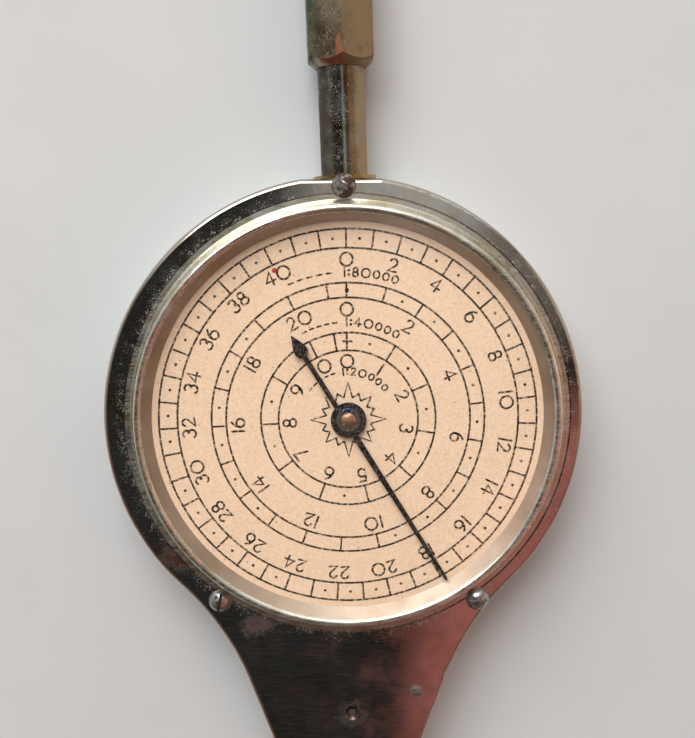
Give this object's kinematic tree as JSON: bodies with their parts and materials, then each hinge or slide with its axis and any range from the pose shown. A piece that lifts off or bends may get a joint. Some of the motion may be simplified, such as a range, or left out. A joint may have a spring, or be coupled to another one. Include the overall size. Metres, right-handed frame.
{
  "type": "opisometer map measurer",
  "caption": "Pear-shaped plated map measurer with three distance scales under glass, one hand, a tracing wheel at the tail and a hexagonal handle.",
  "frame": {"origin": "the axis of the hand where it meets the flat back face", "axes": "+Z along the hand's axis out of the dial, +Y towards the handle, +X to the right as the dial is read"},
  "size_m": [0.0444, 0.1238, 0.0084],
  "materials": {
    "case_plate": "polished nickel plate, tarnished",
    "bezel_plate": "polished nickel plate, yellowed",
    "ring_plate": "polished nickel plate",
    "stem_plate": "polished nickel plate, worn",
    "handle_plate": "polished nickel plate, worn",
    "crystal_glass": "clear flat glass",
    "dial_paper": "matte printed paper, aged to peach",
    "brass": "plain brass",
    "copper_rivet": "copper-coloured brass, riveted end",
    "hand_steel": "blackened steel",
    "collet_steel": "blued steel",
    "screw_steel": "worn steel with rust spots",
    "rivet_steel": "hammered steel",
    "arbor_steel": "turned steel",
    "wheel_steel": "milled steel"
  },
  "bodies": {
    "case": {"case_body": "case_plate", "back_cover": "case_plate", "back_screws": "screw_steel", "bezel": "bezel_plate", "bezel_screws": "screw_steel", "crystal": "crystal_glass", "spacer_ring": "ring_plate", "dial_plate": "brass", "dial_paper": "dial_paper", "dial_feet": "brass", "movement_plate": "brass", "locating_pin": "arbor_steel", "centre_bush": "brass", "tail_pillar": "rivet_steel", "stem_washer": "brass", "stem": "stem_plate", "handle": "handle_plate"},
    "tracing_wheel": {"tracing_wheel": "wheel_steel", "wheel_arbor": "arbor_steel"},
    "transfer": {"transfer_gear": "brass", "transfer_arbor": "arbor_steel"},
    "idler": {"idler_gear": "brass", "idler_arbor": "arbor_steel"},
    "pointer": {"hand": "hand_steel", "hand_collet": "collet_steel", "hand_arbor": "copper_rivet", "centre_gear": "brass"}
  },
  "joints": [
    {"name": "wheel_spin", "type": "hinge", "parent": "case", "child": "tracing_wheel", "pos_m": [0, -0.03546, 0.0035], "axis": [0, 0, 1], "continuous": true},
    {"name": "transfer_spin", "type": "hinge", "parent": "case", "child": "transfer", "pos_m": [0, -0.029, 0.0035], "axis": [0, 0, 1], "continuous": true},
    {"name": "idler_spin", "type": "hinge", "parent": "case", "child": "idler", "pos_m": [0, -0.0184, 0.002], "axis": [0, 0, 1], "continuous": true},
    {"name": "hand_spin", "type": "hinge", "parent": "case", "child": "pointer", "pos_m": [0, 0, 0.0035], "axis": [0, 0, 1], "continuous": true}
  ],
  "couplings": [
    {"joint": "transfer_spin", "follows": "wheel_spin", "ratio": -0.26667},
    {"joint": "idler_spin", "follows": "wheel_spin", "ratio": 0.054545},
    {"joint": "hand_spin", "follows": "wheel_spin", "ratio": -0.05}
  ]
}
